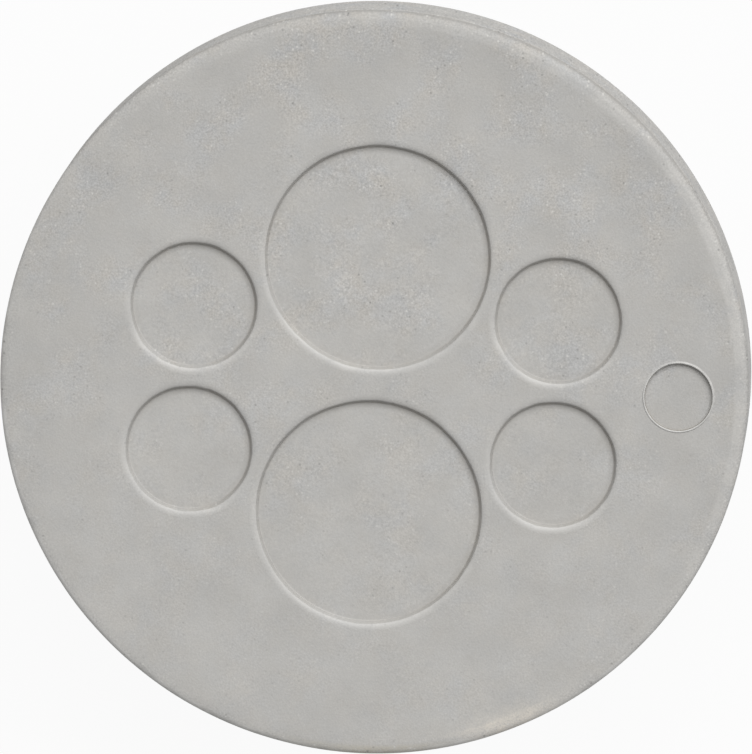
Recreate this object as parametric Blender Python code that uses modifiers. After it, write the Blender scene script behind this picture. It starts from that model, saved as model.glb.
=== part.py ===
"""Round snap-in cable entry plate, moulded in one piece of grey elastomer.

The front is a flat disc with six shallow round recesses. Behind each recess a thin membrane closes a
blind duct, and a cable is pushed through the membrane. The disc's flange lies on the front of a panel,
the neck fills the panel's round hole, and a bead behind the panel holds the plate in.

Metres, +Z up. The plate stands on its back face, centred on the origin, with its front facing up.
"""

import math

import bpy

MM = 0.001

# Cells: a cell is a recess in front, its membrane, and the duct behind it. Radii are at the recess wall.
LARGE_CELL_RADIUS = 4.80 * MM
SMALL_CELL_RADIUS = 2.69 * MM
WEB_LARGE_TO_LARGE = 1.36 * MM
WEB_SMALL_TO_SMALL = 0.80 * MM
WEB_LARGE_TO_SMALL = 0.64 * MM

# Front recess of a cell
RECESS_DEPTH = 0.30 * MM
RECESS_LIP_WIDTH = 0.27 * MM
RECESS_LIP_HEIGHT = 0.10 * MM
RECESS_WALL_DRAFT = 0.08 * MM

# Membrane and duct of a cell
MEMBRANE_THICKNESS = 0.60 * MM
DUCT_INSET = 0.25 * MM
DUCT_DRAFT = 0.10 * MM
DUCT_END_FILLET = 0.30 * MM
DUCT_MOUTH_RADIUS = 0.18 * MM

# Plug: the neck fills the panel's hole, and the bead behind it is the catch
RIM_WALL = 1.45 * MM
GROOVE_WIDTH = 2.20 * MM
CATCH_DEPTH = 1.30 * MM
BEAD_EDGE_RADIUS = 0.30 * MM
BEAD_LAND = 0.80 * MM
LEAD_IN_LENGTH = 4.80 * MM
LEAD_IN_DEPTH = 1.80 * MM
BACK_EDGE_RADIUS = 0.40 * MM

# Flange in front of the panel: the front rolls off in a soft crown before its rounded edge
FLANGE_OVERLAP = 3.50 * MM
FLANGE_THICKNESS = 4.50 * MM
CROWN_WIDTH = 0.50 * MM
CROWN_DROP = 0.05 * MM
FRONT_EDGE_RADIUS = 0.22 * MM
UNDER_EDGE_RADIUS = 0.20 * MM

# Bare round mark that a mould insert leaves on the front: a sunk disc inside a thin line of flash
INSERT_RADIUS = 1.35 * MM
INSERT_SINK = 0.14 * MM
INSERT_EDGE_MARGIN = 1.62 * MM
FLASH_WIDTH = 0.12 * MM
FLASH_HEIGHT = 0.06 * MM

# Facets of the round surfaces
BODY_STEPS = 96
LARGE_CELL_STEPS = 56
SMALL_CELL_STEPS = 36
INSERT_STEPS = 36
CROWN_STEPS = 2
FRONT_EDGE_STEPS = 3
SMALL_EDGE_STEPS = 2

# How far a cutter reaches out of the surface it cuts, and how deep a joined piece is rooted
CUTTER_REACH = 0.30 * MM

SMOOTH_ANGLE = math.radians(35)
FLAT_ANGLE = math.radians(0.5)
MERGE_DISTANCE = 0.001 * MM

ELASTOMER_GREY = (0.462, 0.456, 0.434, 1.0)
ELASTOMER_ROUGHNESS = 0.62

# Places of the cells, from their radii and the webs between them
LARGE_Y = LARGE_CELL_RADIUS + WEB_LARGE_TO_LARGE / 2
SMALL_Y = SMALL_CELL_RADIUS + WEB_SMALL_TO_SMALL / 2
CELL_SPACING = LARGE_CELL_RADIUS + WEB_LARGE_TO_SMALL + SMALL_CELL_RADIUS
SMALL_X = math.sqrt(CELL_SPACING**2 - (LARGE_Y - SMALL_Y) ** 2)
CELL_REACH = max(LARGE_Y + LARGE_CELL_RADIUS, math.hypot(SMALL_X, SMALL_Y) + SMALL_CELL_RADIUS)

# Radii of the body, from the cells outwards
NECK_RADIUS = CELL_REACH + RIM_WALL
BEAD_RADIUS = NECK_RADIUS + CATCH_DEPTH
BACK_RADIUS = BEAD_RADIUS - LEAD_IN_DEPTH
FLANGE_RADIUS = NECK_RADIUS + FLANGE_OVERLAP

# Levels of the body, from the back face up
BEAD_LOW = BACK_EDGE_RADIUS + LEAD_IN_LENGTH
SHOULDER = BEAD_LOW + BEAD_LAND + BEAD_EDGE_RADIUS
FLANGE_UNDERSIDE = SHOULDER + GROOVE_WIDTH
FRONT_FACE = FLANGE_UNDERSIDE + FLANGE_THICKNESS
RECESS_FLOOR = FRONT_FACE - RECESS_DEPTH
DUCT_END = RECESS_FLOOR - MEMBRANE_THICKNESS

# The crown is part of a large circle, and the front's rounded edge carries on from where it ends
CROWN_RADIUS = (CROWN_WIDTH**2 + CROWN_DROP**2) / (2 * CROWN_DROP)
CROWN_TURN = math.degrees(math.asin(CROWN_WIDTH / CROWN_RADIUS))
CROWN_END = FLANGE_RADIUS - FRONT_EDGE_RADIUS * (1 - math.sin(math.radians(CROWN_TURN)))

INSERT_X = FLANGE_RADIUS - INSERT_EDGE_MARGIN - INSERT_RADIUS


def clear_scene():
    for obj in list(bpy.data.objects):
        bpy.data.objects.remove(obj, do_unlink=True)


def new_collection(name):
    collection = bpy.data.collections.new(name)
    bpy.context.scene.collection.children.link(collection)
    return collection


def elastomer():
    material = bpy.data.materials.new("grey_elastomer")
    material.use_nodes = True
    shader = material.node_tree.nodes["Principled BSDF"]
    shader.inputs["Base Color"].default_value = ELASTOMER_GREY
    shader.inputs["Roughness"].default_value = ELASTOMER_ROUGHNESS
    shader.inputs["Metallic"].default_value = 0.0
    material.diffuse_color = ELASTOMER_GREY
    return material


def oval_arc(radius, height, width, tall, start_deg, end_deg, steps):
    """Points of a round edge about (radius, height), with one half-width and another half-height."""
    angles = [math.radians(start_deg + (end_deg - start_deg) * i / steps) for i in range(steps + 1)]
    return [(radius + width * math.cos(a), height + tall * math.sin(a)) for a in angles]


def arc(radius, height, size, start_deg, end_deg, steps):
    """Points of a round edge of the given size, about (radius, height), from one angle to the other."""
    return oval_arc(radius, height, size, size, start_deg, end_deg, steps)


def start_beyond(points, height):
    """The same profile with its first point carried on along the first chord until it is at height."""
    (first_r, first_z), (next_r, next_z) = points[:2]
    slope = (first_r - next_r) / (first_z - next_z)
    return [(first_r + slope * (height - first_z), height)] + points[1:]


def end_beyond(points, height):
    """The same profile with its last point carried on along the last chord until it is at height."""
    return start_beyond(points[::-1], height)[::-1]


def turned(name, profile, steps, collection, location=(0.0, 0.0, 0.0)):
    """A solid of revolution about Z. The profile runs down its outer side, from the axis to the axis."""
    mesh = bpy.data.meshes.new(name)
    edges = [(i, i + 1) for i in range(len(profile) - 1)]
    mesh.from_pydata([(r, 0.0, z) for r, z in profile], edges, [])
    obj = bpy.data.objects.new(name, mesh)
    obj.location = location
    collection.objects.link(obj)
    screw = obj.modifiers.new("Turn", "SCREW")
    screw.axis = "Z"
    screw.angle = math.tau
    screw.steps = steps
    screw.render_steps = steps
    screw.use_merge_vertices = True
    screw.merge_threshold = MERGE_DISTANCE
    screw.use_smooth_shade = True
    flats = obj.modifiers.new("Whole flat faces", "DECIMATE")
    flats.decimate_type = "DISSOLVE"
    flats.angle_limit = FLAT_ANGLE
    return obj


def hide_cutter(obj):
    obj.hide_render = True
    obj.display_type = "WIRE"


def body_profile():
    """Section of the plate without its cells: front face, flange, neck, bead, lead-in and back face."""
    crown_slope = 90 - CROWN_TURN
    edge_drop = CROWN_DROP + FRONT_EDGE_RADIUS * math.cos(math.radians(CROWN_TURN))
    points = [(0.0, FRONT_FACE)]
    points += arc(
        CROWN_END - CROWN_WIDTH,
        FRONT_FACE - CROWN_RADIUS,
        CROWN_RADIUS,
        90,
        crown_slope,
        CROWN_STEPS,
    )
    points += arc(
        FLANGE_RADIUS - FRONT_EDGE_RADIUS,
        FRONT_FACE - edge_drop,
        FRONT_EDGE_RADIUS,
        crown_slope,
        0,
        FRONT_EDGE_STEPS,
    )[1:]
    points += arc(
        FLANGE_RADIUS - UNDER_EDGE_RADIUS,
        FLANGE_UNDERSIDE + UNDER_EDGE_RADIUS,
        UNDER_EDGE_RADIUS,
        0,
        -90,
        SMALL_EDGE_STEPS,
    )
    points += [(NECK_RADIUS, FLANGE_UNDERSIDE), (NECK_RADIUS, SHOULDER)]
    points += arc(
        BEAD_RADIUS - BEAD_EDGE_RADIUS,
        SHOULDER - BEAD_EDGE_RADIUS,
        BEAD_EDGE_RADIUS,
        90,
        0,
        SMALL_EDGE_STEPS,
    )
    points += [(BEAD_RADIUS, BEAD_LOW)]
    points += arc(
        BACK_RADIUS - BACK_EDGE_RADIUS,
        BACK_EDGE_RADIUS,
        BACK_EDGE_RADIUS,
        0,
        -90,
        SMALL_EDGE_STEPS,
    )
    points += [(0.0, 0.0)]
    return points


def recess_profile(cell_radius):
    """Section of what is cut out in front of a membrane, with the rounded lip of the front face."""
    lip = oval_arc(
        cell_radius + RECESS_LIP_WIDTH,
        FRONT_FACE - RECESS_LIP_HEIGHT,
        RECESS_LIP_WIDTH,
        RECESS_LIP_HEIGHT,
        90,
        180,
        SMALL_EDGE_STEPS,
    )
    lip = start_beyond(lip, FRONT_FACE + RECESS_LIP_HEIGHT / 4)
    floor_radius = cell_radius - RECESS_WALL_DRAFT
    return [(0.0, lip[0][1])] + lip + [(floor_radius, RECESS_FLOOR), (0.0, RECESS_FLOOR)]


def duct_profile(cell_radius):
    """Section of the blind duct behind a membrane: rounded end, drafted wall and rounded mouth."""
    end_radius = cell_radius - DUCT_INSET
    mouth_radius = end_radius + DUCT_DRAFT
    end = arc(
        end_radius - DUCT_END_FILLET,
        DUCT_END - DUCT_END_FILLET,
        DUCT_END_FILLET,
        90,
        0,
        SMALL_EDGE_STEPS,
    )
    mouth = arc(
        mouth_radius + DUCT_MOUTH_RADIUS,
        DUCT_MOUTH_RADIUS,
        DUCT_MOUTH_RADIUS,
        180,
        270,
        SMALL_EDGE_STEPS,
    )
    mouth = end_beyond(mouth, -DUCT_MOUTH_RADIUS / 2)
    return [(0.0, DUCT_END)] + end + mouth + [(0.0, mouth[-1][1])]


def cells():
    """Each cell's name, radius, place and number of facets."""
    found = []
    for side, y in (("upper", LARGE_Y), ("lower", -LARGE_Y)):
        found.append((f"large_{side}", LARGE_CELL_RADIUS, (0.0, y, 0.0), LARGE_CELL_STEPS))
    for hand, x in (("right", SMALL_X), ("left", -SMALL_X)):
        for side, y in (("upper", SMALL_Y), ("lower", -SMALL_Y)):
            found.append((f"small_{side}_{hand}", SMALL_CELL_RADIUS, (x, y, 0.0), SMALL_CELL_STEPS))
    return found


def add_cell_cutters(collection):
    for name, radius, place, steps in cells():
        hide_cutter(turned(f"recess_{name}", recess_profile(radius), steps, collection, place))
        hide_cutter(turned(f"duct_{name}", duct_profile(radius), steps, collection, place))


def add_insert_cutter(collection):
    """What is cut out inside the line of flash. Its wall leans out a little, like the insert's edge."""
    top = FRONT_FACE + CUTTER_REACH
    floor = FRONT_FACE - INSERT_SINK
    lean = FLASH_WIDTH / 4
    wall = start_beyond([(INSERT_RADIUS + lean, FRONT_FACE + FLASH_HEIGHT), (INSERT_RADIUS, floor)], top)
    profile = [(0.0, top)] + wall + [(0.0, floor)]
    hide_cutter(turned("insert_sink", profile, INSERT_STEPS, collection, (INSERT_X, 0.0, 0.0)))


def add_flash(collection):
    """A low disc on the front. Cut by the insert cutter, it leaves only its outer edge, the flash."""
    crest = FRONT_FACE + FLASH_HEIGHT
    root = FRONT_FACE - CUTTER_REACH
    crest_radius = INSERT_RADIUS + FLASH_WIDTH / 2
    foot_radius = INSERT_RADIUS + FLASH_WIDTH
    side = end_beyond([(crest_radius, crest), (foot_radius, FRONT_FACE)], root)
    profile = [(0.0, crest)] + side + [(0.0, root)]
    flash = turned("insert_flash", profile, INSERT_STEPS, collection, (INSERT_X, 0.0, 0.0))
    hide_cutter(flash)
    return flash


def settle(obj):
    """Gives the object its finished mesh, smooth between its sharp edges."""
    graph = bpy.context.evaluated_depsgraph_get()
    finished = bpy.data.meshes.new_from_object(obj.evaluated_get(graph))
    obj.modifiers.clear()
    obj.data = finished
    finished.shade_smooth()
    finished.set_sharp_from_angle(angle=SMOOTH_ANGLE)


def build_plate():
    parts = new_collection("cable_entry_plate")
    cutters = new_collection("cutters")
    joined = new_collection("joined")

    plate = turned("entry_plate", body_profile(), BODY_STEPS, parts)
    plate.data.materials.append(elastomer())

    flash = add_flash(joined)
    add_cell_cutters(cutters)
    add_insert_cutter(cutters)

    join = plate.modifiers.new("Flash", "BOOLEAN")
    join.operation = "UNION"
    join.object = flash
    cut = plate.modifiers.new("Cells and insert", "BOOLEAN")
    cut.operation = "DIFFERENCE"
    cut.operand_type = "COLLECTION"
    cut.collection = cutters
    settle(plate)


clear_scene()
build_plate()
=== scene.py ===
# Looks of a round cable entry plate: moulded grey elastomer, pale floor, soft studio light.
# Lengths in the dictionaries are millimetres, and the mesh is made in metres at the end.
import math
import bpy
import numpy as np
from mathutils import Matrix, Vector, geometry


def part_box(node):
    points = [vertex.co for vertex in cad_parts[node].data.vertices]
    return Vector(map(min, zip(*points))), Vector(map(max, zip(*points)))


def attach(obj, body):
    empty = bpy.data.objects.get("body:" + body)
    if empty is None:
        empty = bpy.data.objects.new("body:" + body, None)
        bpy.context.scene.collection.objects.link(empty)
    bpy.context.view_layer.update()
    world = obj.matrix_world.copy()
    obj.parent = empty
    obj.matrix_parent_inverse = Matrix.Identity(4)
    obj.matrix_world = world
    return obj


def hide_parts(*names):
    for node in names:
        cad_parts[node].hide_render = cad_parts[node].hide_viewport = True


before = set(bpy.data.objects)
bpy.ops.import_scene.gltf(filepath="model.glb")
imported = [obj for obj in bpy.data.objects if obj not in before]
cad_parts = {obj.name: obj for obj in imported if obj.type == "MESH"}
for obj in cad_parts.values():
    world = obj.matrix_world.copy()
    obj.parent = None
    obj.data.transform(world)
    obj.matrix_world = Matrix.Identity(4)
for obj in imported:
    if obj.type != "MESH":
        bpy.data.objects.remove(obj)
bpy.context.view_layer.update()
print("frame loaded:", sorted(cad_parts))

mm = 0.001
tiny = 1e-6  # a length in millimetres that counts as none
plateLow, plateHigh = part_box("entry_plate")


# Profiles. Each is an array with a row per ring: radius, height, and wear with painted light. Above 0 it
# says how much lighter a ring is, rubbed at the crown and the ducts' mouths and painted light elsewhere,
# and below 0 how much painted shade darkens it.

def spreadWear(wearAndPaintedLight, count):
    # one value for the whole run, or a pair, from which the wear and painted light changes evenly along it
    first, last = np.broadcast_to(wearAndPaintedLight, 2)
    return np.linspace(first, last, count)


def arcRun(centreR, centreZ, sizeR, sizeZ, startDeg, endDeg, count, wearAndPaintedLight=1.0):
    # an elliptic arc: centre plus (sizeR cos a, sizeZ sin a), with the angle a evenly spread
    a = np.radians(np.linspace(startDeg, endDeg, count))
    rings = np.column_stack((centreR + sizeR * np.cos(a), centreZ + sizeZ * np.sin(a)))
    return np.column_stack((rings, spreadWear(wearAndPaintedLight, count)))


def lineRun(start, end, count, wearAndPaintedLight=0.0):
    # a straight run: start plus s times (end - start), with s evenly spread from 0 to 1
    s = np.linspace(0.0, 1.0, count)[:, None]
    points = np.array(start) * (1 - s) + np.array(end) * s
    return np.column_stack((points, spreadWear(wearAndPaintedLight, count)))


def joinRuns(*runs):
    # the runs one after another, without a ring that repeats the one before it
    rows = np.vstack(runs)
    step = np.hypot(*np.diff(rows[:, :2], axis=0).T)
    return rows[np.concatenate(([True], step > tiny))]


# Patches. Each is a dictionary of points, their wear and painted light, quads, triangles and the finish's
# number.

def turnedPatch(profile, steps, centre=(0.0, 0.0), facesUp=True, finish=0):
    # a profile carried round a vertical axis, on a grid of r and t: x = cx + r cos t, y = cy + r sin t, and
    # z stays
    t = np.arange(steps) * math.tau / steps
    r, z = profile[:, :1], profile[:, 1:2]
    grid = np.stack((centre[0] + r * np.cos(t), centre[1] + r * np.sin(t), z + 0 * t), axis=-1)
    here = np.arange(len(profile) * steps).reshape(len(profile), steps)
    quads = np.stack((here[:-1], here[1:], np.roll(here[1:], -1, 1), np.roll(here[:-1], -1, 1)), -1)
    tris = np.zeros((0, 3), int)
    if profile[0, 0] == 0:  # the first ring is one point, so its band is a fan
        pole = np.full(steps, here[0, 0])
        tris = np.stack((pole, here[1], np.roll(here[1], -1)), -1)
        quads = quads[1:]
    quads = quads.reshape(-1, 4)
    if not facesUp:
        quads, tris = quads[:, ::-1], tris[:, ::-1]
    wearAndPaintedLight = np.repeat(profile[:, 2], steps)
    return {"points": grid.reshape(-1, 3), "wearAndPaintedLight": wearAndPaintedLight, "quads": quads, "tris": tris, "finish": finish}


def landPatch(circles, height, spacing, facesUp=True):
    # the flat between an outer circle and the circles inside it: points on the circles where the turned
    # patches have theirs, a hexagonal grid between them, and Delaunay triangles over all of them
    rims, edges, first = [], [], 0
    for cx, cy, radius, steps in circles:
        t = np.arange(steps) * math.tau / steps
        rims.append(np.column_stack((cx + radius * np.cos(t), cy + radius * np.sin(t))))
        here = first + np.arange(steps)
        edges.append(np.column_stack((here, np.roll(here, -1))))
        first += steps
    outer = circles[0][2]
    rows = np.arange(-outer, outer, spacing * math.sqrt(3) / 2)
    x, y = np.meshgrid(np.arange(-outer, outer, spacing), rows)
    x[1::2] += spacing / 2
    grid = np.column_stack((x.ravel(), y.ravel()))
    beside = 0.55 * spacing  # the grid keeps this far from every circle

    def clearOf(points, margin):
        # inside the outer circle by the margin, and outside every other circle by it
        kept = np.hypot(*points.T) < outer - margin
        for cx, cy, radius, steps in circles[1:]:
            kept &= np.hypot(points[:, 0] - cx, points[:, 1] - cy) > radius + margin
        return kept

    flat = np.vstack(rims + [grid[clearOf(grid, beside)]])
    made = geometry.delaunay_2d_cdt(flat.tolist(), np.vstack(edges).tolist(), [], 0, 1e-7)
    tris = np.array(made[2])
    tris = tris[clearOf(flat[tris].mean(axis=1), 0.0)]
    a, b, c = flat[tris[:, 0]], flat[tris[:, 1]], flat[tris[:, 2]]
    turn = (b[:, 0] - a[:, 0]) * (c[:, 1] - a[:, 1]) - (b[:, 1] - a[:, 1]) * (c[:, 0] - a[:, 0])
    wrong = (turn > 0) != facesUp
    tris[wrong] = tris[wrong][:, ::-1]
    points = np.column_stack((flat, np.full(len(flat), height)))
    noQuads = np.zeros((0, 4), int)
    return {"points": points, "wearAndPaintedLight": np.zeros(len(flat)), "quads": noQuads, "tris": tris, "finish": 0}


def joinPatches(patches):
    # one closed surface: points that lie in the same tiny cell on two patches become one
    cellsPerMm = 1e5
    first = np.cumsum([0] + [len(p["points"]) for p in patches[:-1]])
    points = np.vstack([p["points"] for p in patches])
    wearAndPaintedLight = np.concatenate([p["wearAndPaintedLight"] for p in patches])
    quads = np.vstack([p["quads"] + f for p, f in zip(patches, first)])
    tris = np.vstack([p["tris"] + f for p, f in zip(patches, first)])
    finish = np.concatenate(
        [np.full(len(p["quads"]), p["finish"]) for p in patches]
        + [np.full(len(p["tris"]), p["finish"]) for p in patches]
    )
    cells = np.round(points * cellsPerMm).astype(np.int64)
    kept, place = np.unique(cells, axis=0, return_index=True, return_inverse=True)[1:]
    place = place.reshape(-1)
    return {
        "points": points[kept],
        "wearAndPaintedLight": wearAndPaintedLight[kept],
        "quads": place[quads],
        "tris": place[tris],
        "finish": finish,
    }


def softWaves(points, seed, count, shortest, longest):
    # a sum of plane waves over x and y, each with its own direction, phase and length, at most about 1 tall
    gain = 2.2
    random = np.random.default_rng(seed)
    length = np.exp(random.uniform(np.log(shortest), np.log(longest), count))
    angle, phase = random.uniform(0, math.tau, (2, count))
    share = length / length.sum()
    along = points[:, :1] * np.cos(angle) + points[:, 1:2] * np.sin(angle)
    return (np.sin(along * math.tau / length + phase) * share).sum(axis=1) * gain


def roundWaves(angle, seed, lowest, highest):
    # a sum of waves round a circle, with whole numbers of periods, divided so that it lies between about -1
    # and 1
    spread = 1.5
    random = np.random.default_rng(seed)
    periods = np.arange(lowest, highest + 1)
    phase = random.uniform(0, math.tau, len(periods))
    share = 1 / periods
    wave = (np.sin(angle[:, None] * periods + phase) * share).sum(axis=1)
    return wave / np.sqrt((share**2).sum()) / spread


def lowered(wave):
    # a wave between -1 and 1, made a share of the way down: 0 at its crests and 1 in its troughs
    return np.clip(0.5 - 0.5 * wave, 0, 1)


# The plate

plateShape = {
    "crownWide": 0.28,       # the front rolls off softly towards its edge
    "crownDrop": 0.020,
    "frontEdge": 0.33,       # radius of the corner beyond that
    "frontRub": 0.1,         # wear of the crown and the corner
    "underEdge": 0.20,       # radius of the flange's lower edge
    "flashCrest": 0.06,      # the front lies this much under the top of the CAD model, which is its flash
    "flangeOverlap": 3.50,   # flange beyond the neck
    "flangeThickness": 4.50,
    "groove": 2.20,
    "rootFillet": 0.12,      # in the corners of the groove
    "catch": 1.30,           # bead beyond the neck
    "beadEdge": 0.30,
    "beadLand": 0.80,
    "beadFoot": 0.12,        # height and depth of the soft bend from the bead to its taper
    "beadFootIn": 0.02,
    "leadInDepth": 1.80,
    "backEdge": 0.40,
    "backFoot": 0.08,        # height and width of the soft bend from the taper to the back's edge
    "backFootOut": 0.03,
    "partingDown": 0.95,     # from the front to the parting line on the flange's side
    "partingStep": 0.012,    # how far the side steps out there, and over what height
    "partingFoot": 0.02,
    "partingTall": 0.45,     # height of the band of painted shade above the step, and of the lighter one below it
    "partingStart": 0.80,    # share of that height at which the painted shade begins
    "partingPaintedShade": -0.9,     # painted shade above the step, and painted light just below it and on the side further down
    "partingPaintedLight": 0.1,
    "sidePaintedLight": 0.6,
    "sideIn": 0.024,         # how far the side lies inside the CAD model's box
    "steps": 240,
    "landSpacing": 0.42,     # between the points of the flat faces
    "edgeSpread": 0.10,      # flat support ring beside each edge
}

cellShape = {
    "largeRadius": 4.80,
    "smallRadius": 2.69,
    "largeY": 5.48,
    "smallX": 7.771,
    "smallY": 3.09,
    "depth": 0.30,
    "footWide": 0.06,        # the hollow corner between the floor and the wall
    "footHigh": 0.04,
    "wallLean": 0.08,
    "wallOut": 0.01,         # how far the top of the wall lies outside the nominal radius
    "lipWide": 0.28,         # the rounded lip at the front
    "lipDeep": 0.10,
    "lipFlat": 0.015,        # flat ring where the recess joins the front
    "floorRing": 0.12,       # width of the floor's ring of painted shade, and of the one inside it, where it begins
    "floorPaintedShade": -0.3,       # painted shade on that ring, in the corner and on the wall, and painted highlight on the lip from its foot up
    "cornerPaintedShade": -1.0,
    "wallPaintedShade": -0.6,
    "lipPaintedHighlight": (1.3, 0.2),
    "sag": 0.012,            # the membranes are a little hollow
    "membrane": 0.60,
    "ductInset": 0.25,
    "ductDraft": 0.10,
    "ductEnd": 0.30,
    "ductMouth": 0.18,
    "mouthRub": 0.6,
    "largeSteps": 168,
    "smallSteps": 112,
}

insertShape = {
    "edgeMargin": 1.57,      # from the flange's edge
    "radius": 1.435,         # at the foot of the wall
    "sideways": 0.057,       # how far it sits off the front's own axis
    "sink": 0.17,
    "tilt": 0.01,            # the disc lies this much lower on one side and higher on the other
    "tiltTowards": 58.0,     # degrees round the front from +X, where it lies lower
    "footFillet": 0.02,
    "wallLean": 0.01,
    "floorPaintedShade": -0.3,       # painted shade on the disc's outer ring
    "cornerPaintedShade": -1.8,      # painted shade in the corner and on the wall
    # painted highlight along the ridge of flash
    "flashPaintedHighlight": 3.6,
    "flash": 0.048,          # height and half the width of the ridge of flash
    "flashHalf": 0.036,
    "flashMean": 0.72,       # mean share of its height that the uneven flash has, and how far it wanders
    "flashWander": 0.4,
    "flashLow": 0.35,        # that share at its lowest
    "flashWaves": {"seed": 31, "lowest": 3, "highest": 60},
    "flatRing": 0.04,        # flat ring outside the flash
    "discDepth": 0.3,        # what lies within the mark's radius and less deep than this is its disc
    "steps": 216,
}

waveShape = {
    "front": 0.006,          # height of the front's soft unevenness
    "frontWaves": {"seed": 11, "count": 26, "shortest": 2.2, "longest": 9.0},
    "frontDepth": 1.0,       # it has faded out this far below the front, over this height
    "frontFade": 0.5,
    "back": 0.008,
    "backWaves": {"seed": 23, "count": 20, "shortest": 2.2, "longest": 9.0},
    "backFade": 0.8,         # the back's has faded out this far above the back
    "crown": 0.020,          # height of the unevenness of the crown round the front
    "crownWaves": {"seed": 41, "count": 40, "shortest": 0.7, "longest": 3.0},
    "crownReach": 0.75,      # it starts this far inside the flange's edge and is full after this fade
    "crownFade": 0.3,
    "rim": 0.012,            # how far the flange's side wanders
    "rimWaves": {"seed": 5, "lowest": 4, "highest": 80},
    "rimFrom": 2.0,          # it starts this far outside the neck and is full after this fade
    "rimFade": 1.2,
    "lip": 0.028,            # how far the recesses' lips wander
    "lipWaves": {"lowest": 3, "highest": 60},
    "lipSeed": 50,           # of the first recess, and each further one has the next number
    "lipMiddle": 0.08,       # outside the nominal radius, and how far it fades to both sides
    "lipFade": 0.22,
}

outerRadius = (plateHigh.x - plateLow.x) / 2 / mm
frontHeight = plateHigh.z / mm - plateShape["flashCrest"]
undersideHeight = frontHeight - plateShape["flangeThickness"]
shoulderHeight = undersideHeight - plateShape["groove"]
neckRadius = outerRadius - plateShape["flangeOverlap"]


def outsideProfile(s):
    # from the front's outer ring over its soft crown and corner, the flange's side with the parting step,
    # the groove, the bead and the taper to the back's outer ring
    lower = outerRadius - s["sideIn"]
    side = lower - s["partingStep"]
    bead = neckRadius + s["catch"]
    back = bead - s["leadInDepth"]
    beadEdge, backEdge, rub = s["beadEdge"], s["backEdge"], s["frontRub"]
    beadLow = shoulderHeight - beadEdge - s["beadLand"]
    edge, under, root = s["frontEdge"], s["underEdge"], s["rootFillet"]
    parting, tall = frontHeight - s["partingDown"], s["partingTall"]
    crownRadius = (s["crownWide"] ** 2 + s["crownDrop"] ** 2) / (2 * s["crownDrop"])
    crownTurn = math.degrees(math.asin(s["crownWide"] / crownRadius))
    crownEnd = side - edge * (1 - math.sin(math.radians(crownTurn)))
    crownStart = crownEnd - s["crownWide"]
    edgeHigh = frontHeight - s["crownDrop"] - edge * math.cos(math.radians(crownTurn))
    paintedShadeTop, paintedShadeFoot = parting + s["partingStart"] * tall, parting + s["partingFoot"]
    taperTop = (bead - s["beadFootIn"], beadLow)
    taperFoot = (back + s["backFootOut"], backEdge + s["backFoot"])
    return joinRuns(
        lineRun((crownStart - s["edgeSpread"], frontHeight), (crownStart, frontHeight), 3),
        arcRun(crownStart, frontHeight - crownRadius, crownRadius, crownRadius, 90, 90 - crownTurn, 9, rub),
        arcRun(side - edge, edgeHigh, edge, edge, 90 - crownTurn, 0, 13, rub),
        lineRun((side, edgeHigh), (side, parting + tall), 2),
        # painted shade above the parting step, and painted light below it and on the side
        lineRun((side, paintedShadeTop), (side, paintedShadeFoot), 4, s["partingPaintedShade"]),
        lineRun((lower, parting), (lower, parting - tall), 2, s["partingPaintedLight"]),
        lineRun((lower, parting - 2 * tall), (lower, undersideHeight + under), 10, s["sidePaintedLight"]),
        arcRun(lower - under, undersideHeight + under, under, under, 0, -90, 7),
        lineRun((lower - under, undersideHeight), (neckRadius + root, undersideHeight), 7),
        arcRun(neckRadius + root, undersideHeight - root, root, root, 90, 180, 5, 0.0),
        lineRun((neckRadius, undersideHeight - root), (neckRadius, shoulderHeight + root), 5),
        arcRun(neckRadius + root, shoulderHeight + root, root, root, 180, 270, 5, 0.0),
        lineRun((neckRadius + root, shoulderHeight), (bead - beadEdge, shoulderHeight), 4),
        arcRun(bead - beadEdge, shoulderHeight - beadEdge, beadEdge, beadEdge, 90, 0, 8),
        lineRun((bead, shoulderHeight - beadEdge), (bead, beadLow + s["beadFoot"]), 3),
        lineRun(taperTop, taperFoot, 9),
        arcRun(back - backEdge, backEdge, backEdge, backEdge, 0, -90, 9),
        lineRun((back - backEdge, 0.0), (back - backEdge - s["edgeSpread"], 0.0), 3),
    )


def recessProfile(radius, s):
    # from the middle of a membrane over its floor, hollow corner and wall to the rounded lip on the front,
    # with the floor hollow by a parabola, sag times (1 - (r / foot)^2)
    floor = frontHeight - s["depth"]
    footWide, footHigh, wide, deep = s["footWide"], s["footHigh"], s["lipWide"], s["lipDeep"]
    top = radius + s["wallOut"]
    foot = top - s["wallLean"]
    ring = s["floorRing"]
    rings = joinRuns(
        lineRun((0.0, floor), (foot - footWide - 2 * ring, floor), 9),
        # painted shade on the floor's outer ring, in the corner and on the wall, and a painted highlight on
        # the lip
        lineRun((foot - footWide - ring, floor), (foot - footWide, floor), 3, s["floorPaintedShade"]),
        arcRun(foot - footWide, floor + footHigh, footWide, footHigh, -90, -8, 11, s["cornerPaintedShade"]),
        lineRun((foot, floor + footHigh), (top, frontHeight - deep), 3, s["wallPaintedShade"]),
        arcRun(top + wide, frontHeight - deep, wide, deep, 180, 90, 13, s["lipPaintedHighlight"]),
        lineRun((top + wide, frontHeight), (top + wide + s["lipFlat"], frontHeight), 2),
    )
    inside = np.clip(1 - (rings[:, 0] / foot) ** 2, 0, 1)
    rings[:, 1] -= s["sag"] * inside
    return rings


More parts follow.
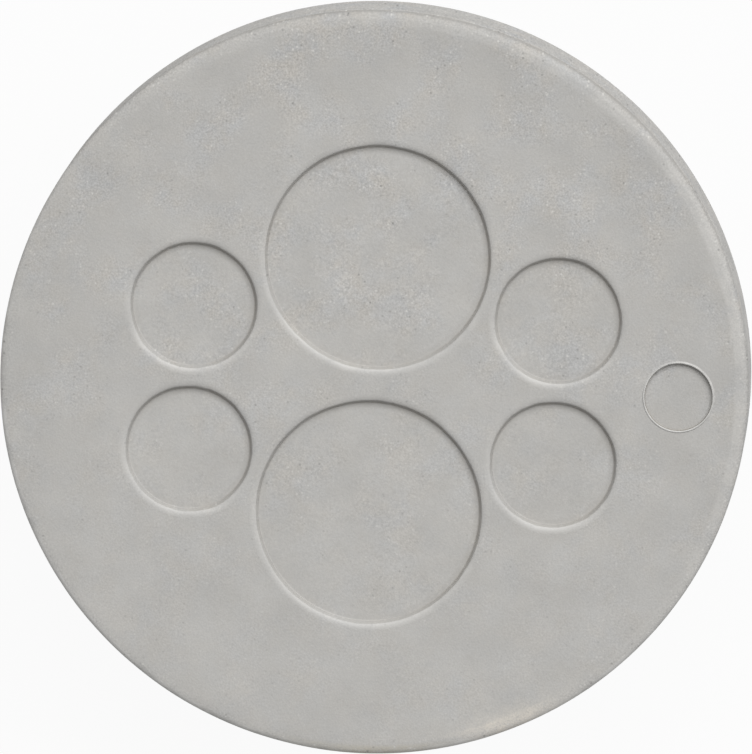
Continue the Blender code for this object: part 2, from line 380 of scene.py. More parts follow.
def ductProfile(radius, s):
    # from the middle of a membrane's back over the duct's rounded end and drafted wall to its mouth
    end = frontHeight - s["depth"] - s["membrane"]
    endRadius = radius - s["ductInset"]
    mouthRadius = endRadius + s["ductDraft"]
    fillet, mouth = s["ductEnd"], s["ductMouth"]
    return joinRuns(
        lineRun((0.0, end), (endRadius - fillet, end), 6),
        arcRun(endRadius - fillet, end - fillet, fillet, fillet, 90, 0, 7, 0.0),
        lineRun((endRadius, end - fillet), (mouthRadius, mouth), 9),
        arcRun(mouthRadius + mouth, mouth, mouth, mouth, 180, 270, 6, s["mouthRub"]),
        lineRun((mouthRadius + mouth, 0.0), (mouthRadius + mouth + s["lipFlat"], 0.0), 2),
    )


def insertProfile(s):
    # from the middle of the sunk disc over its corner and steep wall to the rounded ridge of flash, half an
    # ellipse, and down to the front
    floor = frontHeight - s["sink"]
    foot, fillet, half = s["radius"], s["footFillet"], s["flashHalf"]
    inner = foot + s["wallLean"]
    outer = inner + 2 * half
    return joinRuns(
        lineRun((0.0, floor), (foot - 5 * fillet, floor), 6),
        # painted shade on the disc's outer ring, in the corner and on the wall, and a painted highlight on
        # the flash
        lineRun((foot - 5 * fillet, floor), (foot - fillet, floor), 3, s["floorPaintedShade"]),
        arcRun(foot - fillet, floor + fillet, fillet, fillet, -90, -15, 5, s["cornerPaintedShade"]),
        lineRun((foot, floor + fillet), (inner, frontHeight), 5, s["cornerPaintedShade"]),
        arcRun(inner + half, frontHeight, half, s["flash"], 180, 0, 13, s["flashPaintedHighlight"]),
        lineRun((outer, frontHeight), (outer + s["flatRing"], frontHeight), 2),
    )


def insertCentre():
    x = outerRadius - insertShape["edgeMargin"] - insertShape["radius"]
    return np.array((x, insertShape["sideways"]))


def cellPlaces():
    # x, y, radius and number of steps of each cell
    s = cellShape
    cells = [(0.0, y, s["largeRadius"], s["largeSteps"]) for y in (s["largeY"], -s["largeY"])]
    for x in (s["smallX"], -s["smallX"]):
        cells += [(x, y, s["smallRadius"], s["smallSteps"]) for y in (s["smallY"], -s["smallY"])]
    return cells


def buildSurface():
    insertX, insertY = insertCentre()
    outside = outsideProfile(plateShape)
    insert = insertProfile(insertShape)
    patches = [turnedPatch(outside, plateShape["steps"])]
    patches.append(turnedPatch(insert, insertShape["steps"], (insertX, insertY)))
    frontCircles = [(0.0, 0.0, outside[0, 0], plateShape["steps"])]
    frontCircles.append((insertX, insertY, insert[-1, 0], insertShape["steps"]))
    backCircles = [(0.0, 0.0, outside[-1, 0], plateShape["steps"])]
    for x, y, radius, steps in cellPlaces():
        recess, duct = recessProfile(radius, cellShape), ductProfile(radius, cellShape)
        patches.append(turnedPatch(recess, steps, (x, y)))
        patches.append(turnedPatch(duct, steps, (x, y), facesUp=False, finish=1))
        frontCircles.append((x, y, recess[-1, 0], steps))
        backCircles.append((x, y, duct[-1, 0], steps))
    patches.append(landPatch(frontCircles, frontHeight, plateShape["landSpacing"]))
    patches.append(landPatch(backCircles, 0.0, plateShape["landSpacing"], facesUp=False))
    return joinPatches(patches)


def unevenSurface(points, s):
    # heights and radii wander a little: a mask of 0 to 1 for each kind of unevenness, times its size, times
    # soft waves over the front, the back and the crown, or waves round the side
    front = np.clip((points[:, 2] - frontHeight + s["frontDepth"]) / s["frontFade"], 0, 1)
    back = np.clip(1 - points[:, 2] / s["backFade"], 0, 1)
    radius = np.hypot(points[:, 0], points[:, 1])
    angle = np.arctan2(points[:, 1], points[:, 0])
    side = np.clip((radius - neckRadius - s["rimFrom"]) / s["rimFade"], 0, 1)
    crown = np.clip((radius - outerRadius + s["crownReach"]) / s["crownFade"], 0, 1) * front

    points[:, 2] -= front * s["front"] * lowered(softWaves(points, **s["frontWaves"]))
    points[:, 2] += back * s["back"] * lowered(softWaves(points, **s["backWaves"]))
    inward = side * s["rim"] * lowered(roundWaves(angle, **s["rimWaves"]))
    points[:, :2] *= (1 - inward / np.maximum(radius, tiny))[:, None]
    unevenLips(points, front, s)
    points[:, 2] -= crown * s["crown"] * lowered(softWaves(points, **s["crownWaves"]))
    unevenInsert(points, insertShape)
    return points


def unevenLips(points, front, s):
    # each recess's lip wanders in and out, along the way from the recess's middle, by waves round it
    for number, (x, y, size, steps) in enumerate(cellPlaces()):
        away = points[:, :2] - (x, y)
        distance = np.maximum(np.hypot(*away.T), tiny)
        around = np.arctan2(away[:, 1], away[:, 0])
        nearLip = np.clip(1 - np.abs(distance - size - s["lipMiddle"]) / s["lipFade"], 0, 1) * front
        wave = roundWaves(around, s["lipSeed"] + number, **s["lipWaves"])
        points[:, :2] += away / distance[:, None] * (nearLip * s["lip"] * wave)[:, None]


def unevenInsert(points, s):
    # the disc of the insert mark is tilted: depth's share times the distance towards the tilt. The flash
    # round it comes and goes, its height times a share that waves round it.
    away = points[:, :2] - insertCentre()
    distance = np.hypot(*away.T)
    inner = s["radius"] + s["wallLean"]
    lower = math.radians(s["tiltTowards"])
    along = away @ np.array((math.cos(lower), math.sin(lower))) / s["radius"]
    isDisc = (distance < inner) & (points[:, 2] > frontHeight - s["discDepth"])
    depth = np.clip((frontHeight - points[:, 2]) / s["sink"], 0, 1)
    points[:, 2] -= isDisc * depth * along * s["tilt"]
    isFlash = (distance < inner + 2 * s["flashHalf"]) & (points[:, 2] > frontHeight)
    wave = roundWaves(np.arctan2(away[:, 1], away[:, 0]), **s["flashWaves"])
    share = np.clip(s["flashMean"] + s["flashWander"] * wave, s["flashLow"], 1)
    points[:, 2] += isFlash * (points[:, 2] - frontHeight) * (share - 1)


# Wear, painted light and shade, and stains, worked out for each point of the surface

stainsAndPaintedLight = {
    # painted light and shade on the flange's edge: degrees round the front from +X, spread in degrees,
    # reach inwards from the flange's edge, depths below the front between which it lies, and the most
    # painted light, which is painted shade where it is below 0
    "edgePaintedLight": [
        (228.0, 54.0, 0.30, -0.10, 0.50, 7.0),
        (72.0, 62.0, 0.30, -0.10, 0.60, -0.7),
        (25.0, 60.0, 0.66, -0.10, 0.25, 0.9),
        (292.0, 32.0, 0.30, -0.10, 0.50, 3.5),
        (-8.0, 30.0, 0.30, 0.40, 4.40, 1.9),
    ],
    "edgeFade": 0.14,
    "recessShadeSide": 35.0,      # degrees round each recess from +X, on the side away from the lamp, where its painted shade is darkest
    "recessLitSide": 262.0,      # and on the side towards the lamp, where the painted highlight on its lip is brightest
    "recessLightLean": 0.60,      # how much more there is in that place, and less opposite
    "recessReach": 0.33,     # on both sides of the nominal radius, just past the lip
    "recessDepth": 0.60,     # below the front
    "pale": -66.5,           # degrees round the front from +X
    "paleSpread": 8.0,
    "paleReach": 0.78,       # from the flange's edge inwards
    "brown": -87.0,
    "brownSpread": 13.0,
    "brownReach": 0.50,
    "stainDepth": 0.60,      # below the front
    "fade": 0.16,            # over this radius and height the stains fade out
}


def angleBump(points, place, spread):
    # a smooth bump round the front: e to the power of minus the square of (angle from the place / spread)
    angle = np.degrees(np.arctan2(points[:, 1], points[:, 0]))
    away = (angle - place + 180) % 360 - 180
    return np.exp(-((away / spread) ** 2))


def pastEdge(points):
    # how far outside the flange's edge a point lies, which is below 0 for one inside it
    return np.hypot(points[:, 0], points[:, 1]) - outerRadius


def edgePaintedLight(points, s):
    # painted light on the flange's edge and side in three places that the lamp barely reaches, a painted
    # highlight on the crown, and painted shade on the edge that faces the lamp: for each place a smooth
    # bump by angle, which rises from a radius outwards and lies between two depths below the front
    past = pastEdge(points)
    down = frontHeight - points[:, 2]
    fade = s["edgeFade"]
    wearAndPaintedLight = np.zeros(len(points))
    for place, spread, reach, upper, lower, most in s["edgePaintedLight"]:
        outside = np.clip((past + reach) / fade, 0, 1)
        between = np.clip((down - upper) / fade + 1, 0, 1) * np.clip((lower - down) / fade, 0, 1)
        wearAndPaintedLight += most * angleBump(points, place, spread) * outside * between
    return wearAndPaintedLight


def recessPaintedLight(points, wearAndPaintedLight, s):
    # round each recess the painted shade is darkest on the side away from the lamp and the painted
    # highlight brightest on the side towards it, each by 1 plus the lean times the cosine of the angle from
    # the side where there is most
    share = np.ones(len(points))
    isHigh = points[:, 2] > frontHeight - s["recessDepth"]
    for x, y, size, steps in cellPlaces():
        away = points[:, :2] - (x, y)
        near = (np.abs(np.hypot(*away.T) - size) < s["recessReach"]) & isHigh
        angle = np.arctan2(away[:, 1], away[:, 0])
        place = np.radians(np.where(wearAndPaintedLight < 0, s["recessShadeSide"], s["recessLitSide"]))
        share = np.where(near, 1 + s["recessLightLean"] * np.cos(angle - place), share)
    return wearAndPaintedLight * share


def edgeStain(points, s):
    # a film that handling left on the front's edge, 1 where it is pale and -1 where it is brownish: by
    # angle a smooth bump about each of two places, by radius only the outermost part, and by height only
    # the top
    past, fade = pastEdge(points), s["fade"]
    high = np.clip((points[:, 2] - frontHeight + s["stainDepth"]) / fade, 0, 1)
    pale = angleBump(points, s["pale"], s["paleSpread"]) * np.clip((past + s["paleReach"]) / fade, 0, 1)
    brown = angleBump(points, s["brown"], s["brownSpread"]) * np.clip((past + s["brownReach"]) / fade, 0, 1)
    return np.clip(pale - brown, -1, 1) * high


def makeMesh(name, surface):
    mesh = bpy.data.meshes.new(name)
    faces = surface["quads"].tolist() + surface["tris"].tolist()
    mesh.from_pydata((surface["points"] * mm).tolist(), [], faces)
    mesh.polygons.foreach_set("material_index", surface["finish"].astype(np.int32))
    wearAndPaintedLight = mesh.attributes.new("wearAndPaintedLight", "FLOAT", "POINT")
    wearAndPaintedLight.data.foreach_set("value", surface["wearAndPaintedLight"].astype(np.float32))
    stain = mesh.attributes.new("stain", "FLOAT", "POINT")
    stain.data.foreach_set("value", edgeStain(surface["points"], stainsAndPaintedLight).astype(np.float32))
    mesh.shade_smooth()
    mesh.update()
    piece = bpy.data.objects.new(name, mesh)
    bpy.context.scene.collection.objects.link(piece)
    return piece


surface = buildSurface()
# painted light and shade round the recesses and on the flange's edge
surface["wearAndPaintedLight"] = recessPaintedLight(surface["points"], surface["wearAndPaintedLight"], stainsAndPaintedLight)
surface["wearAndPaintedLight"] += edgePaintedLight(surface["points"], stainsAndPaintedLight)
surface["points"] = unevenSurface(surface["points"], waveShape)
plate = makeMesh("moulded_plate", surface)
triangles = 2 * len(surface["quads"]) + len(surface["tris"])
print("moulded plate:", len(plate.data.vertices), "points,", triangles, "triangles")


# Finishes. Short functions make the nodes and set or link their inputs.

def setInput(tree, socket, value):
    if isinstance(value, bpy.types.NodeSocket):
        tree.links.new(value, socket)
    else:
        socket.default_value = value


def newNode(tree, kind, label, settings=None, **inputs):
    # an input is given by its name, or as n0, n1 and so on by its number
    node = tree.nodes.new(kind)
    node.label = label
    for key, value in (settings or {}).items():
        setattr(node, key, value)
    for key, value in inputs.items():
        byNumber = key[0] == "n" and key[1:].isdigit()
        setInput(tree, node.inputs[int(key[1:]) if byNumber else key], value)
    return node


def mixColour(tree, label, factor, first, second):
    node = newNode(tree, "ShaderNodeMix", label, {"data_type": "RGBA"}, n0=factor, n6=first, n7=second)
    return node.outputs[2]


def rangeOf(tree, label, value, given, made=(0.0, 1.0)):
    # the value carried from one range to another, and held at its ends
    node = newNode(tree, "ShaderNodeMapRange", label, Value=value)
    for key, number in zip(("From Min", "From Max", "To Min", "To Max"), (*given, *made)):
        node.inputs[key].default_value = number
    return node.outputs["Result"]


def noiseOf(tree, label, place, scale, detail, roughness):
    inputs = {"Vector": place, "Scale": scale, "Detail": detail, "Roughness": roughness}
    return newNode(tree, "ShaderNodeTexNoise", label, **inputs).outputs["Fac"]


def mathOf(tree, label, operation, *values):
    inputs = {"n%d" % number: value for number, value in enumerate(values)}
    return newNode(tree, "ShaderNodeMath", label, {"operation": operation}, **inputs).outputs[0]


def vectorOf(tree, label, operation, first, second):
    node = newNode(tree, "ShaderNodeVectorMath", label, {"operation": operation}, n0=first, n1=second)
    return node.outputs[0]


def newGroup(name, inputs, outputs):
    # sockets by name: Vector is a vector, and each other one is a number
    group = bpy.data.node_groups.new(name, "ShaderNodeTree")
    for way, labels in (("INPUT", inputs), ("OUTPUT", outputs)):
        for label in labels:
            kind = "NodeSocketVector" if label == "Vector" else "NodeSocketFloat"
            group.interface.new_socket(label, in_out=way, socket_type=kind)
    return group, group.nodes.new("NodeGroupInput").outputs, group.nodes.new("NodeGroupOutput").inputs


def buildGrainGroup():
    # spark-eroded grain: fine and coarse noise, mixed for the height, and the fine one for the tone. A
    # third noise says where it is strong, in patches.
    patchRange = (0.42, 0.62)  # of that noise, from no patch to a full one
    inputs = ("Vector", "Fine", "Coarse", "Coarse Share", "Patch Scale")
    group, given, made = newGroup("mouldGrain", inputs, ("Height", "Tone", "Patch"))
    place = given["Vector"]
    fine = noiseOf(group, "fine grain", place, given["Fine"], detail=2.0, roughness=0.6)
    coarse = noiseOf(group, "coarse grain", place, given["Coarse"], detail=3.0, roughness=0.6)
    both = newNode(group, "ShaderNodeMix", "height", Factor=given["Coarse Share"], n2=fine, n3=coarse)
    patches = noiseOf(group, "patches", place, given["Patch Scale"], detail=2.0, roughness=0.5)
    group.links.new(both.outputs[0], made["Height"])
    group.links.new(fine, made["Tone"])
    group.links.new(rangeOf(group, "strong patches", patches, patchRange), made["Patch"])
    return group


def buildCloudGroup():
    # soft blotches: two large noises, one for light and dark and one for warm and cool
    inputs = ("Vector", "Tone Scale", "Warm Scale")
    group, given, made = newGroup("softCloud", inputs, ("Tone", "Warmth"))
    place = given["Vector"]
    tone = noiseOf(group, "light and dark", place, given["Tone Scale"], detail=4.0, roughness=0.55)
    warm = noiseOf(group, "warm and cool", place, given["Warm Scale"], detail=3.0, roughness=0.6)
    group.links.new(tone, made["Tone"])
    group.links.new(warm, made["Warmth"])
    return group


def buildFleckGroup():
    # sparse flecks: small round spots of a Voronoi pattern, kept only where the cell's own number is high
    group, given, made = newGroup("strayFlecks", ("Vector", "Scale", "Size", "Share"), ("Mask",))
    spots = newNode(group, "ShaderNodeTexVoronoi", "spots", Vector=given["Vector"], Scale=given["Scale"])
    number = newNode(group, "ShaderNodeSeparateColor", "cell number", Color=spots.outputs["Color"])
    least = mathOf(group, "least number", "SUBTRACT", 1.0, given["Share"])
    chosen = mathOf(group, "chosen", "GREATER_THAN", number.outputs["Red"], least)
    spot = newNode(group, "ShaderNodeMapRange", "spot", {"interpolation_type": "SMOOTHSTEP"})
    group.links.new(spots.outputs["Distance"], spot.inputs["Value"])
    group.links.new(given["Size"], spot.inputs["From Min"])
    spot.inputs["From Max"].default_value = 0.0
    mask = mathOf(group, "mask", "MULTIPLY", spot.outputs["Result"], chosen)
    group.links.new(mask, made["Mask"])
    return group


groups = {"grain": buildGrainGroup(), "cloud": buildCloudGroup(), "fleck": buildFleckGroup()}


def placeGroup(tree, name, place, values):
    node = tree.nodes.new("ShaderNodeGroup")
    node.node_tree = groups[name]
    for key, value in {"Vector": place, **values}.items():
        setInput(tree, node.inputs[key], value)
    return node.outputs


elastomerLook = {
    "colour": (0.464, 0.455, 0.435, 1.0),
    "warm": (0.476, 0.457, 0.426, 1.0),
    "cool": (0.454, 0.454, 0.450, 1.0),
    "warmRange": (0.36, 0.64),       # of the cloud's warmth, from cool to warm
    "tintBase": 0.2,                 # share of that tint everywhere, and how much more a strong patch has
    "tintPatch": 0.7,
    "blotch": 0.05,                  # how much lighter and darker the blotches are
    "blotchRange": (0.3, 0.7),
    "cloud": {"Tone Scale": 520.0, "Warm Scale": 900.0},
    "grain": {"Fine": 12000.0, "Coarse": 2200.0, "Coarse Share": 0.4, "Patch Scale": 420.0},
    "draw": (1.0, 1.0, 0.2),         # grain and dots are drawn out along Z, the way out of the mould
    "grainBelow": 0.42,              # strength of the grain's patches in the front's lower half
    "grainAbove": 1.40,              # and at its upper edge
    "grainFrom": -9.0,               # between these places along Y
    "grainTo": 14.0,
    "landGrain": 0.80,               # share of the grain that the front has between the recesses
    "landTop": 0.1,                  # between these depths below the front
    "landFoot": 0.2,
    "speckleBase": 0.5,              # share of the finish's speckle everywhere, and how much more in
    "specklePatch": 1.1,             # patches
    "rimFrom": 0.7,                  # the rough rim begins and is full this far inside the edge
    "rimTo": 0.15,
    "rimRoughness": 0.80,
    "rimShade": 0.045,               # how much painted shade darkens the front's edge, between these radii
    "shadeFrom": 11.0,
    "shadeTo": 15.0,
    "shadeLow": -10.0,               # and not below this place along Y
    # rubbed places, and painted light on the lips, the flash, and the flange's side and edge, take this
    # colour
    "rubAndPaintedLight": (0.620, 0.612, 0.592, 1.0),
    "rubAndLightShare": 0.32,
    "rubAndLightLeast": 0.08,
    "rubAndLightRange": (0.40, 0.62),        # of the cloud's warmth, from the least rub and painted light to the whole share
    # painted shade in hollow corners, at the parting step and on the edge that faces the lamp takes this
    # colour
    "paintedShade": (0.280, 0.258, 0.225, 1.0),
    "paintedShadeShare": 0.48,
    "paintedShadeLeast": 0.4,                # share of the painted shade that stays where it is thin
    "paintedShadeRange": (0.35, 0.65),       # of the grain's height
    "stain": (0.665, 0.620, 0.550, 1.0),
    "brownStain": (0.460, 0.435, 0.375, 1.0),
    "stainShare": 0.90,
    "stainLeast": 0.4,
    "stainRange": (0.4, 0.6),        # of the grain's height
    "light": (0.62, 0.61, 0.58, 1.0),
    "dark": (0.25, 0.245, 0.235, 1.0),
    "dotBase": 0.18,                 # strength of the dots everywhere, and how much more in patches
    "dotPatch": 0.80,
    "lightDots": {"Scale": 4600.0, "Size": 0.34, "Share": 0.34},
    "darkDots": {"Scale": 3600.0, "Size": 0.27, "Share": 0.20},
    "strays": {"Scale": 1500.0, "Size": 0.08, "Share": 0.05},
    "strayStrength": 0.6,
    "darkShift": (0.013, 0.007, 0.003),      # metres, so that no two kinds of dots lie together
    "strayShift": (0.005, 0.017, 0.009),
    "glossWander": 0.06,             # how far the roughness wanders with the grain's height
    "glossRange": (0.3, 0.7),
    "grained": {"grainHeight": 0.012, "roughness": 0.50, "speckle": 0.50},
    "smooth": {"grainHeight": 0.004, "roughness": 0.48, "speckle": 0.20},
}


def placeMasks(tree, look, place, patches):
    # places on the plate, and where the grain is strong: in patches, more so in the upper half and in the
    # recesses, and all over the side and the crown before it
    flat = vectorOf(tree, "over the front", "MULTIPLY", place, (1.0, 1.0, 0.0))
    out = newNode(tree, "ShaderNodeVectorMath", "out", {"operation": "LENGTH"}, n0=flat).outputs["Value"]
    rimRange = ((outerRadius - look["rimFrom"]) * mm, (outerRadius - look["rimTo"]) * mm)
    rim = rangeOf(tree, "rim", out, rimRange)

    apart = newNode(tree, "ShaderNodeSeparateXYZ", "apart", Vector=place).outputs
    up, height = apart["Y"], apart["Z"]
    upRange = (look["grainFrom"] * mm, look["grainTo"] * mm)
    upper = rangeOf(tree, "more in the upper half", up, upRange, (look["grainBelow"], look["grainAbove"]))
    landRange = (frontHeight * mm - look["landFoot"] * mm, frontHeight * mm - look["landTop"] * mm)
    onLand = rangeOf(tree, "less beside the recesses", height, landRange, (1.0, look["landGrain"]))
    patch = mathOf(tree, "patch", "MULTIPLY", mathOf(tree, "by place", "MULTIPLY", upper, onLand), patches)
    rough = mathOf(tree, "patch or rim", "MAXIMUM", patch, rim)
    return {"out": out, "up": up, "rim": rim, "patch": patch, "rough": rough}


def bodyColour(tree, look, speckle, masks, grain, cloud):
    # the elastomer itself: warmer and cooler, lighter and darker by blotches, and speckled by the grain's
    # tone, with painted shade that makes the front's edge a little darker except at the bottom
    warmth = rangeOf(tree, "warmth", cloud["Warmth"], look["warmRange"])
    tinted = mathOf(tree, "tinted", "MULTIPLY_ADD", masks["patch"], look["tintPatch"], look["tintBase"])
    colour = mixColour(tree, "warm or cool", warmth, look["cool"], look["warm"])
    colour = mixColour(tree, "tint", tinted, look["colour"], colour)
    blotchEnds = (1 - look["blotch"], 1 + look["blotch"])
    blotch = rangeOf(tree, "blotches", cloud["Tone"], look["blotchRange"], blotchEnds)

    most, least = speckle * look["specklePatch"], speckle * look["speckleBase"]
    strength = mathOf(tree, "speckle strength", "MULTIPLY_ADD", masks["rough"], most, least)
    tone = mathOf(tree, "centred grain", "SUBTRACT", grain["Tone"], 0.5)
    speckled = mathOf(tree, "speckle", "MULTIPLY_ADD", tone, strength, 1.0)

    shadeRange = (look["shadeFrom"] * mm, look["shadeTo"] * mm)
    nearEdge = rangeOf(tree, "near the edge", masks["out"], shadeRange, (0.0, look["rimShade"]))
    inShade = rangeOf(tree, "not at the bottom", masks["up"], (look["shadeLow"] * mm, 0.0))
    shade = mathOf(tree, "shade", "MULTIPLY", nearEdge, inShade)
    shaded = mathOf(tree, "darker edge", "SUBTRACT", 1.0, shade)
    level = mathOf(tree, "level", "MULTIPLY", mathOf(tree, "cloudy", "MULTIPLY", blotch, shaded), speckled)
    toned = newNode(tree, "ShaderNodeVectorMath", "toned", {"operation": "SCALE"}, n0=colour, Scale=level)
    return toned.outputs[0]


def wearAndPaintedLightColour(tree, look, colour, grain, cloud):
    # rubbed edges and painted light are lighter, and painted shade darkens hollow corners and other places
    # with a brownish tone
    wearAndPaintedLight = newNode(tree, "ShaderNodeAttribute", "wearAndPaintedLight", {"attribute_name": "wearAndPaintedLight"}).outputs["Fac"]
    rubAndLightEnds = (look["rubAndLightLeast"], look["rubAndLightShare"])
    patchy = rangeOf(tree, "patchy", cloud["Warmth"], look["rubAndLightRange"], rubAndLightEnds)
    rubAndPaintedLight = mathOf(tree, "rubAndPaintedLight", "MULTIPLY", mathOf(tree, "rubbed rings", "MAXIMUM", wearAndPaintedLight, 0.0), patchy)
    colour = mixColour(tree, "rubbed edges", rubAndPaintedLight, colour, look["rubAndPaintedLight"])

    minusWearAndLight = mathOf(tree, "minus wear", "MULTIPLY", wearAndPaintedLight, -1.0)
    paintedShadeAmount = mathOf(tree, "hollow rings", "MAXIMUM", minusWearAndLight, 0.0)
    unevenShade = rangeOf(tree, "uneven film", grain["Height"], look["paintedShadeRange"], (look["paintedShadeLeast"], 1.0))
    share = mathOf(tree, "film share", "MULTIPLY", paintedShadeAmount, look["paintedShadeShare"])
    paintedShade = mathOf(tree, "paintedShade", "MULTIPLY", share, unevenShade)
    return mixColour(tree, "film in corners", paintedShade, colour, look["paintedShade"])


def stainedColour(tree, look, colour, grain):
    # the pale and the brownish stain at the front's lower edge, uneven with the grain
    stain = newNode(tree, "ShaderNodeAttribute", "stain", {"attribute_name": "stain"}).outputs["Fac"]
    ends = (look["stainLeast"] * look["stainShare"], look["stainShare"])
    uneven = rangeOf(tree, "uneven stain", grain["Height"], look["stainRange"], ends)
    stained = mathOf(tree, "stained", "MULTIPLY", stain, uneven)
    pale = mathOf(tree, "pale", "MAXIMUM", stained, 0.0)
    colour = mixColour(tree, "pale stain", pale, colour, look["stain"])
    minusStain = mathOf(tree, "minus stain", "MULTIPLY", stained, -1.0)
    brown = mathOf(tree, "brown", "MAXIMUM", minusStain, 0.0)
    return mixColour(tree, "brown stain", brown, colour, look["brownStain"])


def dottedColour(tree, look, colour, place, rough):
    # dots in the grain, many in its strong patches and at the rim, and a few strays
    darkPlace = vectorOf(tree, "dark dots' place", "ADD", place, look["darkShift"])
    strayPlace = vectorOf(tree, "strays' place", "ADD", place, look["strayShift"])
    lightDots = placeGroup(tree, "fleck", place, look["lightDots"])["Mask"]
    darkDots = placeGroup(tree, "fleck", darkPlace, look["darkDots"])["Mask"]
    strays = placeGroup(tree, "fleck", strayPlace, look["strays"])["Mask"]
    dotted = mathOf(tree, "dot strength", "MULTIPLY_ADD", rough, look["dotPatch"], look["dotBase"])
    light = mathOf(tree, "light", "MULTIPLY", lightDots, dotted)
    dark = mathOf(tree, "dark", "MULTIPLY", darkDots, dotted)
    few = mathOf(tree, "few", "MULTIPLY", strays, look["strayStrength"])
    colour = mixColour(tree, "light dots", light, colour, look["light"])
    colour = mixColour(tree, "dark dots", dark, colour, look["dark"])
    return mixColour(tree, "strays", few, colour, look["dark"])


def buildElastomer(name, look, finish):
    material = bpy.data.materials.new(name)
    material.use_nodes = True
    tree = material.node_tree
    shader = tree.nodes["Principled BSDF"]
    place = newNode(tree, "ShaderNodeTexCoord", "place").outputs["Object"]
    drawn = vectorOf(tree, "drawn", "MULTIPLY", place, look["draw"])
    grain = placeGroup(tree, "grain", drawn, look["grain"])
    cloud = placeGroup(tree, "cloud", place, look["cloud"])
    masks = placeMasks(tree, look, place, grain["Patch"])

    colour = bodyColour(tree, look, finish["speckle"], masks, grain, cloud)
    colour = wearAndPaintedLightColour(tree, look, colour, grain, cloud)
    colour = stainedColour(tree, look, colour, grain)
    colour = dottedColour(tree, look, colour, drawn, masks["rough"])
    tree.links.new(colour, shader.inputs["Base Color"])

    # the side and the crown before it are duller than the front
    roughness, wander = finish["roughness"], look["glossWander"]
    glossEnds = (roughness - wander, roughness + wander)
    glossy = rangeOf(tree, "roughness", grain["Height"], look["glossRange"], glossEnds)
    duller = look["rimRoughness"] - roughness
    dull = mathOf(tree, "duller rim", "MULTIPLY_ADD", masks["rim"], duller, glossy)
    tree.links.new(dull, shader.inputs["Roughness"])
    shader.inputs["Specular IOR Level"].default_value = 0.5
    tall = finish["grainHeight"] * mm
    bump = newNode(tree, "ShaderNodeBump", "grain", Strength=1.0, Distance=tall, Height=grain["Height"])
    tree.links.new(bump.outputs["Normal"], shader.inputs["Normal"])
    return material


plate.data.materials.append(buildElastomer("elastomerGrained", elastomerLook, elastomerLook["grained"]))
plate.data.materials.append(buildElastomer("elastomerSmooth", elastomerLook, elastomerLook["smooth"]))
print("finishes:", [m.name for m in plate.data.materials])

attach(plate, "root")
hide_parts("entry_plate")


# Camera. It looks down on the front from a little towards the upper right, at the photograph's angle.

cameraSetup = {
    "distance": 500.0,       # from the middle of the front
    "tilt": 8.8,             # degrees off the front's axis
    "towards": 70.0,         # degrees round the front from +X, where the camera stands
    "roll": -2.05,           # degrees from +Y to the picture's upward direction
    "pixelsPerMm": 23.50,
    "middlePixel": (373.2, 385.28),  # where the middle of the front shows in the 752 by 754 frame
    "frame": (752, 754),
    "sensor": 36.0,
    "nearest": 50.0,         # what lies nearer or farther isn't seen
    "farthest": 50000.0,
}


def buildCamera(s):
    tilt, towards, roll = (math.radians(s[key]) for key in ("tilt", "towards", "roll"))
    back = Vector((math.sin(tilt) * math.cos(towards), math.sin(tilt) * math.sin(towards), math.cos(tilt)))
    right = Vector((math.sin(roll), math.cos(roll), 0.0)).cross(back).normalized()
    up = back.cross(right)
    offRight = (s["frame"][0] / 2 - s["middlePixel"][0]) / s["pixelsPerMm"]
    offUp = (s["middlePixel"][1] - s["frame"][1] / 2) / s["pixelsPerMm"]
    aim = Vector((0.0, 0.0, frontHeight)) + right * offRight + up * offUp
    data = bpy.data.cameras.new("camera")
    data.sensor_width = s["sensor"]
    data.lens = s["pixelsPerMm"] * s["distance"] * s["sensor"] / max(s["frame"])
    data.clip_start = s["nearest"] * mm
    data.clip_end = s["farthest"] * mm
    camera = bpy.data.objects.new("camera", data)
    bpy.context.scene.collection.objects.link(camera)
    turn = Matrix((right, up, back)).transposed().to_4x4()
    camera.matrix_world = Matrix.Translation((aim + back * s["distance"]) * mm) @ turn
    bpy.context.scene.camera = camera


buildCamera(cameraSetup)


# Floor and light

lightSetup = {
    "skyStrength": 0.345,
    "keyStrength": 1.125,    # about the light on a surface that faces the softbox, with 1 as white
    "keyTowards": 67.0,      # degrees round the front from +X
    "keyHeight": 48.0,       # degrees above the floor
    "keyDistance": 1.80,     # metres, as are the softbox's width and height and the floor's size
    "keyWide": 2.10,
    "keyTall": 1.20,
    "floorSize": 6.0,
    "floorUnder": 0.02,      # how far the floor lies below the plate
    "floorColour": (0.64, 0.64, 0.64, 1.0),
    "floorRoughness": 0.9,
    "floorWhite": 0.94,      # share of plain white that the camera sees on the floor
}


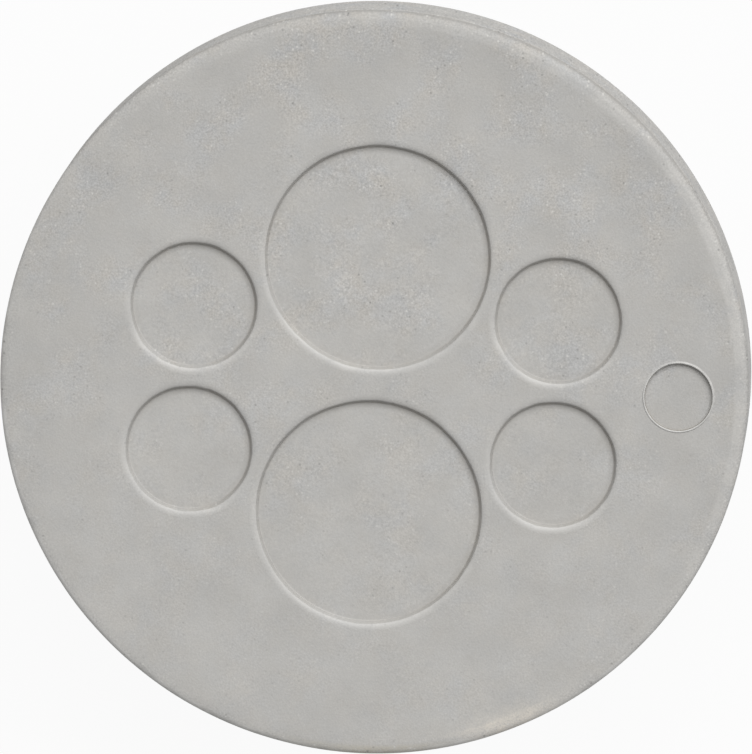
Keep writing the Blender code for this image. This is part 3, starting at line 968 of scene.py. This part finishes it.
def buildFloor(s):
    half = s["floorSize"] / 2
    mesh = bpy.data.meshes.new("floor")
    corners = [(-half, -half, 0.0), (half, -half, 0.0), (half, half, 0.0), (-half, half, 0.0)]
    mesh.from_pydata(corners, [], [(0, 1, 2, 3)])
    floor = bpy.data.objects.new("floor", mesh)
    bpy.context.scene.collection.objects.link(floor)
    floor.location.z = -s["floorUnder"] * mm
    material = bpy.data.materials.new("paleFloor")
    material.use_nodes = True
    tree = material.node_tree
    shader = tree.nodes["Principled BSDF"]
    shader.inputs["Base Color"].default_value = s["floorColour"]
    shader.inputs["Roughness"].default_value = s["floorRoughness"]
    shader.inputs["Specular IOR Level"].default_value = 0.0
    white = newNode(tree, "ShaderNodeEmission", "white", Color=(1, 1, 1, 1), Strength=1.0).outputs[0]
    isCamera = newNode(tree, "ShaderNodeLightPath", "path").outputs["Is Camera Ray"]
    seen = mathOf(tree, "seen", "MULTIPLY", isCamera, s["floorWhite"])
    mix = newNode(tree, "ShaderNodeMixShader", "floor", n0=seen, n1=shader.outputs[0], n2=white)
    tree.links.new(mix.outputs[0], tree.nodes["Material Output"].inputs["Surface"])
    mesh.materials.append(material)


def buildSky(s):
    # a soft grey light from everywhere, which the camera sees as white
    world = bpy.data.worlds.new("studio")
    bpy.context.scene.world = world
    world.use_nodes = True
    tree = world.node_tree
    tree.nodes.clear()
    isCamera = newNode(tree, "ShaderNodeLightPath", "path").outputs["Is Camera Ray"]
    sky = newNode(tree, "ShaderNodeBackground", "sky", Color=(1, 1, 1, 1), Strength=s["skyStrength"])
    white = newNode(tree, "ShaderNodeBackground", "white", Color=(1, 1, 1, 1), Strength=1.0)
    ends = {"n1": sky.outputs[0], "n2": white.outputs[0]}
    mix = newNode(tree, "ShaderNodeMixShader", "seen", n0=isCamera, **ends)
    out = newNode(tree, "ShaderNodeOutputWorld", "world")
    tree.links.new(mix.outputs[0], out.inputs["Surface"])


def buildSoftbox(s):
    data = bpy.data.lights.new("softbox", "AREA")
    data.shape = "RECTANGLE"
    data.size, data.size_y = s["keyWide"], s["keyTall"]
    # a small lamp of power P at distance d lights a surface that faces it with P / (pi d)^2. This one is
    # wide, so it gives rather less.
    data.energy = s["keyStrength"] * (math.pi * s["keyDistance"]) ** 2
    softbox = bpy.data.objects.new("softbox", data)
    bpy.context.scene.collection.objects.link(softbox)
    towards, height = math.radians(s["keyTowards"]), math.radians(s["keyHeight"])
    level = math.cos(height)
    way = Vector((level * math.cos(towards), level * math.sin(towards), math.sin(height)))
    target = Vector((0.0, 0.0, frontHeight * mm))
    turn = way.to_track_quat("Z", "Y").to_matrix().to_4x4()
    softbox.matrix_world = Matrix.Translation(target + way * s["keyDistance"]) @ turn


buildFloor(lightSetup)
buildSky(lightSetup)
buildSoftbox(lightSetup)
bpy.context.scene.view_settings.view_transform = "Standard"
print("camera, floor and light placed")
